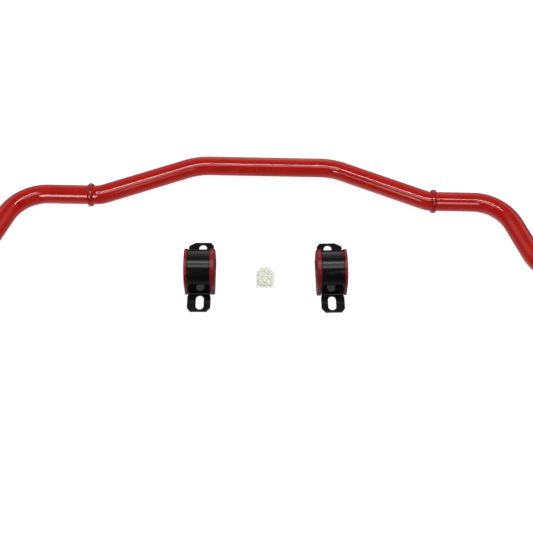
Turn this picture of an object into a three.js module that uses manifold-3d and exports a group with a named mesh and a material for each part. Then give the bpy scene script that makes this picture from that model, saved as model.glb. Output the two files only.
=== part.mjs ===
// Vehicle sway bar laid out with its two bushing and bracket units and a sachet of bushing grease.
// Millimetres. +X runs along the bar to its right end, +Y points from the arms back to the centre
// stretch, +Z is up, and everything rests on the plane z = 0.
import * as THREE from "three";
import { mergeVertices } from "three/addons/utils/BufferGeometryUtils.js";
import Module from "manifold-3d";

// ---- driving dimensions ------------------------------------------------------------------------
const GAP = 0.3; // clearance left between pieces that touch

// Bar: a round bar that lies flat, with a centre stretch set back from the two outboard stretches.
// It rests on its two collars, so its axis is a collar's radius above the floor.
const COLLAR_RADIUS = 19.7;
const BAR_Z = COLLAR_RADIUS;
const BAR_RADIUS = 16;
const BAR_SIDES = 24;
const OFFSET_BACK = 64.5; // centre stretch behind the outboard axis
const OFFSET_SHIFT = 6.7; // the set-back stretch sits a little to the right of the middle
const CENTRE_HALF = 115; // outboard axis: half-distance between the corners of the centre stretch
const INCLINE_HALF = 277; // half-distance between the corners where the inclines end
const CENTRE_BEND_RADIUS = 105;
const OUTBOARD_BEND_RADIUS = 48; // tight, because the collars sit right beside it
const ARM_CORNER_X = 406.2;
const ARM_BEND_RADIUS = 72;
const ARM_ANGLE = 66.8; // degrees from the bar's axis, up to the second bend
const ARM_STRAIGHT = 126; // corner to corner
const SECOND_BEND_RADIUS = 67;
const END_ANGLE = 36; // degrees from the bar's axis, after the second bend
const END_STRAIGHT = 160;
const ARC_STEP = 6; // degrees between sections in a bend

// Forged flat at each arm end, with two holes for the drop link.
const FLAT_LENGTH = 74;
const FLAT_RAMP = 36;
const FLAT_HALF_WIDTH = 22;
const FLAT_HALF_THICKNESS = 7;
const LINK_HOLE_RADIUS = 6.25;
const OUTER_HOLE = 22; // tip to hole centre
const HOLE_PITCH = 28;
const TIP_NARROWEST = 0.2; // share of the flat's width that the tip's first section keeps

// Collars crimped on the outboard stretches.
const COLLAR_X = [-286, 292.5];
const COLLAR_WIDTH = 8.6;
const COLLAR_EDGE = 2; // rounding of the collar's edges, along the bar
const COLLAR_EDGE_DEPTH = 1.5; // the same rounding, towards the bar
const COLLAR_SPLIT = 12; // degrees
const COLLAR_SPLIT_AT = 250; // degrees, seen along +X with 0 to the back and 90 up

// Bracket: a strap over the bushing, with an ear at the front and one at the back.
const STRAP_RADIUS = 31.2; // outside of the strap, and half its depth
const STRAP_THICKNESS = 3.5;
const STRAP_HALF_WIDTH = 18;
const STRAP_CENTRE_Z = 28.6; // centre of the arch
const EAR_END = 64.6; // end of each ear from the middle of the bracket
const EAR_FILLET = 2.5;
const REAR_EAR = { outboard: -20, inboard: 21.5 };
const FRONT_EAR = { outboard: -19, inboard: 19 };
const REAR_CHAMFER = { outboard: [11.5, 6.4], inboard: [4.8, 6.3] };
const FRONT_CHAMFER = { outboard: [5, 7], inboard: [6.5, 7.2] };
const EAR_STEP = 34.5; // where the strap's width starts to become the ear's width
const EAR_FLARE = 4; // length over which it does
const SLOT_LENGTH = 25.4;
const SLOT_WIDTH = 12.8;
const SLOT_FROM_MIDDLE = 48.1;
const SLOT_SIDE = { front: 1.5, rear: 3.5 }; // slots sit this far towards the inboard side

// Bushing: a D-shaped block in the strap, with a flange on each side.
const FLANGE_RADIUS = 32.4;
const FLANGE_INBOARD = 7.9;
const FLANGE_OUTBOARD = 4.9;
const CORE_RADIUS = STRAP_RADIUS - STRAP_THICKNESS - GAP;
const BORE_RADIUS = 16.2;
const BORE_Z = 29;
const SLIT = 1; // cut from the bore to the back, so that the bushing opens over the bar

// Where each unit stands, from the middle of the outboard axis, and its turn from square.
const LEFT_UNIT = { x: -94.8, y: -145, turn: 1 };
const RIGHT_UNIT = { x: 120.9, y: -141.3, turn: 2.7 };

// Sachet of grease, lying flat between the units.
const SACHET = { x: 12.5, y: -146 };
const FILM = { width: 31, depth: 32.5, tongueWidth: 14.5, shoulderWidth: 21.5, tongue: 6.8 };
const FILM_THICKNESS = 0.4;
const GREASE = { width: 23, depth: 28, back: 0.5, height: 3.4, corner: 5 };

const CUT_MARGIN = 10; // how far a cutting tool runs past the work

const RED = new THREE.Color(0.62, 0.03, 0.03);
const DARK_RED = new THREE.Color(0.45, 0.02, 0.03);
const BLACK = new THREE.Color(0.02, 0.02, 0.022);
const GREASE_COLOUR = new THREE.Color(0.78, 0.8, 0.55);

// ---- solid helpers -----------------------------------------------------------------------------
const wasm = await Module();
wasm.setup();

function toSolid(geometry) {
  const bare = geometry.clone();
  bare.deleteAttribute("normal");
  bare.deleteAttribute("uv");
  const merged = mergeVertices(bare, 1e-4);
  const vertProperties = new Float32Array(merged.attributes.position.array);
  const triVerts = new Uint32Array(merged.index.array);
  return new wasm.Manifold(new wasm.Mesh({ numProp: 3, vertProperties, triVerts }));
}

function toGeometry(solid) {
  const mesh = solid.getMesh();
  const geometry = new THREE.BufferGeometry();
  geometry.setAttribute("position", new THREE.BufferAttribute(mesh.vertProperties, 3));
  geometry.setIndex(new THREE.BufferAttribute(mesh.triVerts, 1));
  geometry.computeVertexNormals();
  return geometry;
}

const rad = THREE.MathUtils.degToRad;

// An outline drawn as (y, z), extruded along +X from x0 to x1.
function alongX(shape, x0, x1, options = {}) {
  const settings = { depth: x1 - x0, bevelEnabled: false, curveSegments: 20, ...options };
  const geometry = new THREE.ExtrudeGeometry(shape, settings);
  // The outline's own x, y and depth become the part's y, z and x.
  const basis = new THREE.Matrix4().makeBasis(
    new THREE.Vector3(0, 1, 0),
    new THREE.Vector3(0, 0, 1),
    new THREE.Vector3(1, 0, 0),
  );
  geometry.applyMatrix4(basis);
  geometry.translate(x0, 0, 0);
  return geometry;
}

// An outline drawn as (x, y), extruded up from z0 to z1.
function alongZ(shape, z0, z1) {
  const settings = { depth: z1 - z0, bevelEnabled: false, curveSegments: 8 };
  const geometry = new THREE.ExtrudeGeometry(shape, settings);
  geometry.translate(0, 0, z0);
  return geometry;
}

function material(color, roughness, metalness = 0, opacity = 1) {
  const transparent = opacity < 1;
  return new THREE.MeshStandardMaterial({ color, roughness, metalness, opacity, transparent });
}

function named(name, geometry, look) {
  const mesh = new THREE.Mesh(geometry, look);
  mesh.name = name;
  return mesh;
}

// ---- bar ---------------------------------------------------------------------------------------
// Corners of the right half of the bar's centreline in plan, then the left half mirrored about the
// middle; the set-back stretch alone is shifted sideways.
function barCorners() {
  const first = rad(ARM_ANGLE);
  const last = rad(END_ANGLE);
  const knee = new THREE.Vector2(
    ARM_CORNER_X + ARM_STRAIGHT * Math.cos(first),
    -ARM_STRAIGHT * Math.sin(first),
  );
  const tip = new THREE.Vector2(
    knee.x + END_STRAIGHT * Math.cos(last),
    knee.y - END_STRAIGHT * Math.sin(last),
  );
  const outer = [
    { at: tip, radius: 0 },
    { at: knee, radius: SECOND_BEND_RADIUS },
    { at: new THREE.Vector2(ARM_CORNER_X, 0), radius: ARM_BEND_RADIUS },
  ];
  const inner = [
    { at: new THREE.Vector2(INCLINE_HALF, 0), radius: OUTBOARD_BEND_RADIUS },
    { at: new THREE.Vector2(CENTRE_HALF, OFFSET_BACK), radius: CENTRE_BEND_RADIUS },
  ];
  const shifted = (corner, side) => {
    const at = new THREE.Vector2(side * corner.at.x + OFFSET_SHIFT, corner.at.y);
    return { ...corner, at };
  };
  const mirrored = (corner) => ({ ...corner, at: new THREE.Vector2(-corner.at.x, corner.at.y) });
  return [
    ...outer.map(mirrored),
    ...inner.map((corner) => shifted(corner, -1)),
    ...inner.map((corner) => shifted(corner, 1)).reverse(),
    ...outer.reverse(),
  ];
}

// Stations of one rounded corner: points on the arc between its two straight neighbours.
function cornerStations(before, corner, after) {
  const inDirection = corner.at.clone().sub(before.at).normalize();
  const outDirection = after.at.clone().sub(corner.at).normalize();
  const turn = Math.acos(inDirection.dot(outDirection));
  const side = Math.sign(inDirection.cross(outDirection));
  const start = corner.at.clone().addScaledVector(inDirection, -corner.radius * Math.tan(turn / 2));
  const towardsCentre = new THREE.Vector2(-side * inDirection.y, side * inDirection.x);
  const centre = start.clone().addScaledVector(towardsCentre, corner.radius);
  const steps = Math.ceil(THREE.MathUtils.radToDeg(turn) / ARC_STEP);
  const stations = [];
  for (let i = 0; i <= steps; i += 1) {
    const turned = (turn * i) / steps;
    const point = centre
      .clone()
      .addScaledVector(towardsCentre, -corner.radius * Math.cos(turned))
      .addScaledVector(inDirection, corner.radius * Math.sin(turned));
    const tangent = inDirection.clone().rotateAround(new THREE.Vector2(), side * turned);
    stations.push({ point, tangent });
  }
  return stations;
}

// Distances from the tip at which the flat and its ramp need a section.
function flatStations() {
  const distances = [];
  for (let i = 0; i <= 8; i += 1) {
    distances.push(FLAT_HALF_WIDTH * (1 - Math.cos((i / 8) * (Math.PI / 2))));
  }
  distances.push(FLAT_LENGTH);
  for (let i = 1; i <= 6; i += 1) {
    distances.push(FLAT_LENGTH + (FLAT_RAMP * i) / 6);
  }
  return distances;
}

function armEndStations(tip, knee) {
  const tangent = knee.at.clone().sub(tip.at).normalize();
  return flatStations().map((distance) => ({
    point: tip.at.clone().addScaledVector(tangent, distance),
    tangent: tangent.clone(),
  }));
}

function barStations() {
  const corners = barCorners();
  const last = corners.length - 1;
  const rightEnd = armEndStations(corners[last], corners[last - 1]).reverse();
  const bends = [];
  for (let i = 1; i < last; i += 1) {
    bends.push(...cornerStations(corners[i - 1], corners[i], corners[i + 1]));
  }
  return [
    ...armEndStations(corners[0], corners[1]),
    ...bends,
    ...rightEnd.map(({ point, tangent }) => ({ point, tangent: tangent.negate() })),
  ];
}

// A path that is sampled exactly at its stations, close together only where the bar bends.
class StationPath extends THREE.Curve {
  constructor(stations) {
    super();
    this.stations = stations;
  }

  station(u) {
    return this.stations[Math.round(u * (this.stations.length - 1))];
  }

  getPointAt(u, target = new THREE.Vector3()) {
    const { point } = this.station(u);
    return target.set(point.x, point.y, BAR_Z);
  }

  getTangentAt(u, target = new THREE.Vector3()) {
    const { tangent } = this.station(u);
    return target.set(tangent.x, tangent.y, 0);
  }
}

// Forges the round end into a flat with a round tip: height is cut back, width grows.
function forgeFlats(geometry) {
  const corners = barCorners();
  const last = corners.length - 1;
  const ends = [
    { tip: corners[0].at, knee: corners[1].at },
    { tip: corners[last].at, knee: corners[last - 1].at },
  ];
  const position = geometry.attributes.position;
  for (const { tip, knee } of ends) {
    const inward = knee.clone().sub(tip).normalize();
    const across = new THREE.Vector2(-inward.y, inward.x);
    for (let i = 0; i < position.count; i += 1) {
      const offset = new THREE.Vector2(position.getX(i), position.getY(i)).sub(tip);
      const distance = offset.dot(inward);
      const nearTip = offset.length() < FLAT_LENGTH + FLAT_RAMP + BAR_RADIUS;
      if (nearTip && distance < FLAT_LENGTH + FLAT_RAMP + GAP) {
        const ramp = THREE.MathUtils.smoothstep(distance, FLAT_LENGTH, FLAT_LENGTH + FLAT_RAMP);
        const limit = THREE.MathUtils.lerp(FLAT_HALF_THICKNESS, BAR_RADIUS, ramp);
        const height = position.getZ(i) - BAR_Z;
        const wide = THREE.MathUtils.lerp(FLAT_HALF_WIDTH, BAR_RADIUS, ramp) / BAR_RADIUS;
        const roundness = THREE.MathUtils.clamp(1 - distance / FLAT_HALF_WIDTH, 0, 1);
        const tipWidth = Math.max(Math.sqrt(1 - roundness * roundness), TIP_NARROWEST);
        const lateral = offset.dot(across) * wide * tipWidth;
        const placed = tip.clone().addScaledVector(inward, distance).addScaledVector(across, lateral);
        const z = BAR_Z + THREE.MathUtils.clamp(height, -limit, limit);
        position.setXYZ(i, placed.x, placed.y, z);
      }
    }
  }
  return geometry;
}

function linkHoles() {
  const corners = barCorners();
  const last = corners.length - 1;
  const pairs = [
    [corners[0].at, corners[1].at],
    [corners[last].at, corners[last - 1].at],
  ];
  const holes = [];
  for (const [tip, knee] of pairs) {
    const inward = knee.clone().sub(tip).normalize();
    for (const distance of [OUTER_HOLE, OUTER_HOLE + HOLE_PITCH]) {
      const at = tip.clone().addScaledVector(inward, distance);
      const drill = new THREE.CylinderGeometry(LINK_HOLE_RADIUS, LINK_HOLE_RADIUS, 2 * BAR_RADIUS, 24);
      drill.rotateX(Math.PI / 2);
      drill.translate(at.x, at.y, BAR_Z);
      holes.push(drill);
    }
  }
  return holes;
}

function swayBar() {
  const section = new THREE.Shape();
  for (let i = 0; i < BAR_SIDES; i += 1) {
    const angle = (2 * Math.PI * (i + 0.5)) / BAR_SIDES;
    const x = BAR_RADIUS * Math.cos(angle);
    const y = BAR_RADIUS * Math.sin(angle);
    if (i === 0) {
      section.moveTo(x, y);
    } else {
      section.lineTo(x, y);
    }
  }
  section.closePath();
  const stations = barStations();
  const path = new StationPath(stations);
  const round = new THREE.ExtrudeGeometry(section, { steps: stations.length - 1, extrudePath: path });
  let solid = toSolid(forgeFlats(round));
  for (const hole of linkHoles()) {
    solid = solid.subtract(toSolid(hole));
  }
  return named("sway_bar", toGeometry(solid), material(RED, 0.22));
}

// A C-ring with rounded edges, centred at x on the bar.
function collar(name, x) {
  const bore = BAR_RADIUS + GAP;
  const from = rad(COLLAR_SPLIT_AT + COLLAR_SPLIT / 2);
  const to = rad(COLLAR_SPLIT_AT - COLLAR_SPLIT / 2 + 360);
  const ring = new THREE.Shape();
  ring.absarc(0, 0, COLLAR_RADIUS, from, to, false);
  ring.absarc(0, 0, bore, to, from, true);
  ring.closePath();
  const flat = COLLAR_WIDTH / 2 - COLLAR_EDGE;
  const rounding = {
    bevelEnabled: true,
    bevelSegments: 2,
    bevelThickness: COLLAR_EDGE,
    bevelSize: COLLAR_EDGE_DEPTH,
    bevelOffset: -COLLAR_EDGE_DEPTH,
    curveSegments: 24,
  };
  const geometry = alongX(ring, -flat, flat, rounding);
  geometry.translate(x, 0, BAR_Z);
  return named(name, geometry, material(RED, 0.25));
}

// ---- bushing and bracket unit ------------------------------------------------------------------
// A D-shaped outline (y, z): flat base on the floor, upright sides and a half-round top.
function dOutline(radius) {
  const shape = new THREE.Shape();
  shape.moveTo(-radius, 0);
  shape.lineTo(radius, 0);
  shape.lineTo(radius, STRAP_CENTRE_Z);
  shape.absarc(0, STRAP_CENTRE_Z, radius, 0, Math.PI, false);
  shape.closePath();
  return shape;
}

// inboard is +1 when the unit's inboard side faces +X, and -1 when it faces -X.
function bushing(name, inboard) {
  const reach = STRAP_HALF_WIDTH + GAP;
  const span = (from, to) => [Math.min(from * inboard, to * inboard), Math.max(from * inboard, to * inboard)];
  const core = span(-reach - FLANGE_OUTBOARD / 2, reach + FLANGE_INBOARD / 2);
  const outer = span(-reach - FLANGE_OUTBOARD, -reach);
  const inner = span(reach, reach + FLANGE_INBOARD);
  let solid = toSolid(alongX(dOutline(CORE_RADIUS), ...core));
  solid = solid.add(toSolid(alongX(dOutline(FLANGE_RADIUS), ...outer)));
  solid = solid.add(toSolid(alongX(dOutline(FLANGE_RADIUS), ...inner)));
  const bore = new THREE.CylinderGeometry(BORE_RADIUS, BORE_RADIUS, 4 * reach, 40);
  bore.rotateZ(Math.PI / 2);
  bore.translate(0, 0, BORE_Z);
  const slit = new THREE.BoxGeometry(4 * reach, 2 * FLANGE_RADIUS, SLIT);
  slit.translate(0, FLANGE_RADIUS, BORE_Z);
  solid = solid.subtract(toSolid(bore)).subtract(toSolid(slit));
  return named(name, toGeometry(solid), material(DARK_RED, 0.45));
}

// Side view (y, z) of the strap and its ears, one thickness of sheet all along.
function strapOutline() {
  const inner = STRAP_RADIUS - STRAP_THICKNESS;
  const wide = EAR_FILLET + STRAP_THICKNESS;
  const top = STRAP_THICKNESS + EAR_FILLET;
  const shape = new THREE.Shape();
  shape.moveTo(EAR_END, 0);
  shape.lineTo(EAR_END, STRAP_THICKNESS);
  shape.lineTo(STRAP_RADIUS + EAR_FILLET, STRAP_THICKNESS);
  shape.absarc(STRAP_RADIUS + EAR_FILLET, top, EAR_FILLET, -Math.PI / 2, -Math.PI, true);
  shape.lineTo(STRAP_RADIUS, STRAP_CENTRE_Z);
  shape.absarc(0, STRAP_CENTRE_Z, STRAP_RADIUS, 0, Math.PI, false);
  shape.lineTo(-STRAP_RADIUS, top);
  shape.absarc(-STRAP_RADIUS - EAR_FILLET, top, EAR_FILLET, 0, -Math.PI / 2, true);
  shape.lineTo(-EAR_END, STRAP_THICKNESS);
  shape.lineTo(-EAR_END, 0);
  shape.lineTo(-inner - wide, 0);
  shape.absarc(-inner - wide, wide, wide, -Math.PI / 2, 0, false);
  shape.lineTo(-inner, STRAP_CENTRE_Z);
  shape.absarc(0, STRAP_CENTRE_Z, inner, Math.PI, 0, true);
  shape.lineTo(inner, wide);
  shape.absarc(inner + wide, wide, wide, Math.PI, 1.5 * Math.PI, false);
  shape.closePath();
  return shape;
}

function slot(centreX, centreY) {
  const straight = (SLOT_LENGTH - SLOT_WIDTH) / 2;
  const radius = SLOT_WIDTH / 2;
  const path = new THREE.Path();
  path.absarc(centreX, centreY + straight, radius, 0, Math.PI, false);
  path.absarc(centreX, centreY - straight, radius, Math.PI, 2 * Math.PI, false);
  path.closePath();
  return path;
}

// Plan view (x, y) of the bracket: ears wider than the strap, with cut corners, and two slots.
function bracketPlan(inboard) {
  const flared = EAR_STEP + EAR_FLARE;
  const corners = [
    [-STRAP_HALF_WIDTH, -EAR_STEP],
    [FRONT_EAR.outboard, -flared],
    [FRONT_EAR.outboard, -EAR_END + FRONT_CHAMFER.outboard[1]],
    [FRONT_EAR.outboard + FRONT_CHAMFER.outboard[0], -EAR_END],
    [FRONT_EAR.inboard - FRONT_CHAMFER.inboard[0], -EAR_END],
    [FRONT_EAR.inboard, -EAR_END + FRONT_CHAMFER.inboard[1]],
    [FRONT_EAR.inboard, -flared],
    [STRAP_HALF_WIDTH, -EAR_STEP],
    [STRAP_HALF_WIDTH, EAR_STEP],
    [REAR_EAR.inboard, flared],
    [REAR_EAR.inboard, EAR_END - REAR_CHAMFER.inboard[1]],
    [REAR_EAR.inboard - REAR_CHAMFER.inboard[0], EAR_END],
    [REAR_EAR.outboard + REAR_CHAMFER.outboard[0], EAR_END],
    [REAR_EAR.outboard, EAR_END - REAR_CHAMFER.outboard[1]],
    [REAR_EAR.outboard, flared],
    [-STRAP_HALF_WIDTH, EAR_STEP],
  ];
  const plan = new THREE.Shape(corners.map(([x, y]) => new THREE.Vector2(x * inboard, y)));
  plan.holes.push(slot(SLOT_SIDE.front * inboard, -SLOT_FROM_MIDDLE));
  plan.holes.push(slot(SLOT_SIDE.rear * inboard, SLOT_FROM_MIDDLE));
  return plan;
}

function bracket(name, inboard) {
  const side = REAR_EAR.inboard + CUT_MARGIN;
  const top = STRAP_CENTRE_Z + STRAP_RADIUS + CUT_MARGIN;
  const strap = toSolid(alongX(strapOutline(), -side, side));
  const plan = toSolid(alongZ(bracketPlan(inboard), -CUT_MARGIN, top));
  return named(name, toGeometry(strap.intersect(plan)), material(BLACK, 0.3));
}

function unit(side, place, inboard) {
  const group = new THREE.Group();
  group.add(bushing(`${side}_bushing`, inboard));
  group.add(bracket(`${side}_bracket`, inboard));
  group.position.set(place.x, place.y, 0);
  group.rotation.z = rad(place.turn);
  return group;
}

// ---- sachet ------------------------------------------------------------------------------------
// Film outline: a square with a narrower tongue at the back.
function filmOutline() {
  const half = FILM.width / 2;
  const front = -FILM.depth / 2;
  const back = FILM.depth / 2;
  const shape = new THREE.Shape();
  shape.moveTo(-half, front);
  shape.lineTo(half, front);
  shape.lineTo(half, back);
  shape.lineTo(FILM.shoulderWidth / 2, back);
  shape.lineTo(FILM.tongueWidth / 2, back + FILM.tongue);
  shape.lineTo(-FILM.tongueWidth / 2, back + FILM.tongue);
  shape.lineTo(-FILM.shoulderWidth / 2, back);
  shape.lineTo(-half, back);
  shape.closePath();
  return shape;
}

function roundedRectangle(width, depth, corner) {
  const x = width / 2 - corner;
  const y = depth / 2 - corner;
  const shape = new THREE.Shape();
  shape.absarc(x, y, corner, 0, Math.PI / 2, false);
  shape.absarc(-x, y, corner, Math.PI / 2, Math.PI, false);
  shape.absarc(-x, -y, corner, Math.PI, 1.5 * Math.PI, false);
  shape.absarc(x, -y, corner, 1.5 * Math.PI, 2 * Math.PI, false);
  shape.closePath();
  return shape;
}

function sachet() {
  const group = new THREE.Group();
  const { width, depth, height, corner } = GREASE;
  const seam = FILM_THICKNESS + GAP; // underside of the upper film
  const wall = GAP + FILM_THICKNESS;
  const pocket = roundedRectangle(width + 2 * GAP, depth + 2 * GAP, corner + GAP);
  const cover = roundedRectangle(width + 2 * wall, depth + 2 * wall, corner + wall);
  const place = (geometry) => geometry.translate(0, GREASE.back, 0);
  const dome = toSolid(place(alongZ(cover, seam, seam + height + wall)));
  const hollow = toSolid(place(alongZ(pocket, seam - 1, seam + height + GAP)));
  const sheet = toSolid(alongZ(filmOutline(), seam, seam + FILM_THICKNESS));
  const upper = toGeometry(sheet.add(dome).subtract(hollow));
  const film = material(new THREE.Color(0.92, 0.93, 0.92), 0.15, 0, 0.4);
  const grease = place(alongZ(roundedRectangle(width, depth, corner), seam, seam + height));
  group.add(named("sachet_lower_film", alongZ(filmOutline(), 0, FILM_THICKNESS), film));
  group.add(named("sachet_upper_film", upper, film.clone()));
  group.add(named("sachet_grease", grease, material(GREASE_COLOUR, 0.35)));
  group.position.set(SACHET.x, SACHET.y, 0);
  return group;
}

// ---- layout ------------------------------------------------------------------------------------
const swayBarKit = new THREE.Group();
swayBarKit.add(swayBar());
swayBarKit.add(collar("left_collar", COLLAR_X[0]));
swayBarKit.add(collar("right_collar", COLLAR_X[1]));
swayBarKit.add(unit("left", LEFT_UNIT, 1));
swayBarKit.add(unit("right", RIGHT_UNIT, -1));
swayBarKit.add(sachet());

// The origin goes on the floor under the middle of the whole layout.
swayBarKit.updateMatrixWorld(true);
const extent = new THREE.Box3().setFromObject(swayBarKit, true);
const middle = extent.getCenter(new THREE.Vector3());
swayBarKit.position.set(-middle.x, -middle.y, -extent.min.z);

export default swayBarKit;
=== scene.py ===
"""Sway bar with its bushings, brackets and grease sachet: the visual model around the CAD frame."""
import math
import bpy
import bmesh
from mathutils import Matrix, Vector, noise


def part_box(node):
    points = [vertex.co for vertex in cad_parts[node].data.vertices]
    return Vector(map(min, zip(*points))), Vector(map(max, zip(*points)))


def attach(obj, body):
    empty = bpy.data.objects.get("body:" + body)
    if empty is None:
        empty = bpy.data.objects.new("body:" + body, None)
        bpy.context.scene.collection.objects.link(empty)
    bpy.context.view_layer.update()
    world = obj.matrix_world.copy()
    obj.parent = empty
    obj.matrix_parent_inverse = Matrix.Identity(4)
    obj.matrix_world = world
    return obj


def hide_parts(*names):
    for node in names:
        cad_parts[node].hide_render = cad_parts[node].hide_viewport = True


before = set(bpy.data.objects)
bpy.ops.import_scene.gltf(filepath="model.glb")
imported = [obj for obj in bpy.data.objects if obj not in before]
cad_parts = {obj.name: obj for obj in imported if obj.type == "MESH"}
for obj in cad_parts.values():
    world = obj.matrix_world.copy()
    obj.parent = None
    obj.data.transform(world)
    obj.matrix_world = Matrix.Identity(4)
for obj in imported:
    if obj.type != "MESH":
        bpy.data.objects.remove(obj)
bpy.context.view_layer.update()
MM = 0.001

# ---- driving dimensions, in millimetres as in the CAD -------------------------------------------
# Bar: its centreline's corners and bends in plan, then the forged flats at its two ends.
BAR_RADIUS = 16.0
ARM_CORNER_X = 406.2
ARM_BEND_RADIUS = 72.0
ARM_ANGLE = math.radians(66.8)
ARM_STRAIGHT = 126.0
SECOND_BEND_RADIUS = 67.0
END_ANGLE = math.radians(36)
END_STRAIGHT = 160.0
OFFSET_BACK = 64.5
OFFSET_SHIFT = 6.7
CENTRE_HALF = 115.0
INCLINE_HALF = 277.0
CENTRE_BEND_RADIUS = 105.0
OUTBOARD_BEND_RADIUS = 48.0
FLAT_LENGTH = 74.0
FLAT_RAMP = 36.0
FLAT_HALF_WIDTH = 22.0
FLAT_HALF_THICKNESS = 7.0
LINK_HOLE_RADIUS = 6.25
OUTER_HOLE = 22.0
HOLE_PITCH = 28.0

# Collar: a crimped ring with a split. The crimp is a shallow pinch beside the split.
COLLAR_RADIUS = 19.7
COLLAR_WIDTH = 8.6
COLLAR_SPLIT = math.radians(250)
SPLIT_WIDTH = 2.2
CRIMP_INNER_RADIUS = 16.5
CRIMP_DEPTH = 0.55
CRIMP_FROM_SPLIT = 5.5
CRIMP_SPREAD = 2.2

# Bushing and bracket unit, about the middle of its strap.
STRAP_RADIUS = 31.2
STRAP_THICKNESS = 3.5
STRAP_HALF_WIDTH = 18.0
STRAP_CENTRE_Z = 28.6
EAR_END = 64.6
EAR_FILLET = 2.5
EAR_STEP = 34.5
EAR_FLARE = 4.0
SLOT_LENGTH = 25.4
SLOT_WIDTH = 12.8
SLOT_FROM_MIDDLE = 48.1
FLANGE_RADIUS = 32.4
FLANGE_INBOARD = 7.9
FLANGE_OUTBOARD = 4.9
CLEARANCE = 0.3
CORE_RADIUS = STRAP_RADIUS - STRAP_THICKNESS - CLEARANCE
BORE_RADIUS = 16.2
BORE_CHAMFER = 1.0
BORE_Z = 29.0
GREASE_GROOVES = 9
GROOVE_DEPTH = 0.45
SLIT_WIDTH = 1.0
UNIT_TURN = {"left": math.radians(1.0), "right": math.radians(2.7)}

# The bracket's blank, along the middle of the sheet: half the arch, one wall, one bend to an ear.
ARCH_MIDLINE = STRAP_RADIUS - STRAP_THICKNESS / 2
ARCH_LENGTH = ARCH_MIDLINE * math.pi / 2
WALL_LENGTH = STRAP_CENTRE_Z - STRAP_THICKNESS - EAR_FILLET
FILLET_MIDLINE = EAR_FILLET + STRAP_THICKNESS / 2
FILLET_LENGTH = FILLET_MIDLINE * math.pi / 2

# Sachet: a film with a tongue at the back, and the grease in it.
FILM_HALF_WIDTH = 15.5
FILM_HALF_DEPTH = 16.25
TONGUE = 6.8
SHOULDER_HALF = 10.75
TONGUE_HALF = 7.25
FILM_COLUMNS = 62
BODY_ROWS = 65
TONGUE_ROWS = 14
GREASE_HALF_WIDTH = 12.6
GREASE_HALF_DEPTH = 18.2
GREASE_BACK = 2.4
GREASE_CELL = 0.4

# The bar's axis: the collars sit on it, so their boxes say where it is.
collar_low, collar_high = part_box("left_collar")
BAR_Y = (collar_low.y + collar_high.y) / 2 / MM
BAR_Z = collar_high.z / MM - COLLAR_RADIUS


# ---- mesh helpers --------------------------------------------------------------------------------
def new_object(name, bm, smooth_angle=32):
    """Turns a bmesh in millimetres into a scene object in metres."""
    bmesh.ops.recalc_face_normals(bm, faces=bm.faces)
    bmesh.ops.scale(bm, vec=(MM, MM, MM), verts=bm.verts)
    mesh = bpy.data.meshes.new(name)
    bm.to_mesh(mesh)
    bm.free()
    mesh.shade_smooth()
    mesh.set_sharp_from_angle(angle=math.radians(smooth_angle))
    obj = bpy.data.objects.new(name, mesh)
    bpy.context.scene.collection.objects.link(obj)
    return obj


def add_ring(bm, points):
    return [bm.verts.new(point) for point in points]


def bridge(bm, ring_a, ring_b, closed=True):
    """Joins two rings of points, or two open rows, with a band of quads."""
    count = len(ring_a)
    for i in range(count if closed else count - 1):
        j = (i + 1) % count
        bm.faces.new((ring_a[i], ring_a[j], ring_b[j], ring_b[i]))


def bridge_all(bm, rings, closed=True, capped=False):
    """Joins each ring to the next. Capped, the first and the last are filled as well."""
    for ring_a, ring_b in zip(rings, rings[1:]):
        bridge(bm, ring_a, ring_b, closed)
    if capped:
        bm.faces.new(rings[0])
        bm.faces.new(rings[-1])


def inboard_sign(side):
    return 1 if side == "left" else -1


def lerp(a, b, t):
    return a + (b - a) * t


def smoothstep(x, low, high):
    t = min(max((x - low) / (high - low), 0.0), 1.0)
    return t * t * (3 - 2 * t)


def cut(obj, cutter_bm):
    """Subtracts a closed bmesh, in millimetres, from an object."""
    cutter = new_object("cutter", cutter_bm)
    modifier = obj.modifiers.new("cut", "BOOLEAN")
    modifier.operation = "DIFFERENCE"
    modifier.solver = "EXACT"
    modifier.object = cutter
    depsgraph = bpy.context.evaluated_depsgraph_get()
    result = bpy.data.meshes.new_from_object(obj.evaluated_get(depsgraph))
    obj.modifiers.clear()
    old = obj.data
    obj.data = result
    obj.data.name = obj.name
    bpy.data.meshes.remove(old)
    bpy.data.objects.remove(cutter)


# ---- bar -----------------------------------------------------------------------------------------
def bar_corners():
    """Plan corners (x, y, bend radius) of the centreline, from the left tip to the right tip."""
    knee_x = ARM_CORNER_X + ARM_STRAIGHT * math.cos(ARM_ANGLE)
    knee_y = -ARM_STRAIGHT * math.sin(ARM_ANGLE)
    tip_x = knee_x + END_STRAIGHT * math.cos(END_ANGLE)
    tip_y = knee_y - END_STRAIGHT * math.sin(END_ANGLE)
    outer = [(tip_x, tip_y, 0.0), (knee_x, knee_y, SECOND_BEND_RADIUS), (ARM_CORNER_X, 0.0, ARM_BEND_RADIUS)]
    inner = [(INCLINE_HALF, 0.0, OUTBOARD_BEND_RADIUS), (CENTRE_HALF, OFFSET_BACK, CENTRE_BEND_RADIUS)]
    left = [(-x, y, r) for x, y, r in outer] + [(OFFSET_SHIFT - x, y, r) for x, y, r in inner]
    right = [(OFFSET_SHIFT + x, y, r) for x, y, r in reversed(inner)] + list(reversed(outer))
    return [(x, y + BAR_Y, r) for x, y, r in left + right]


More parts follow.
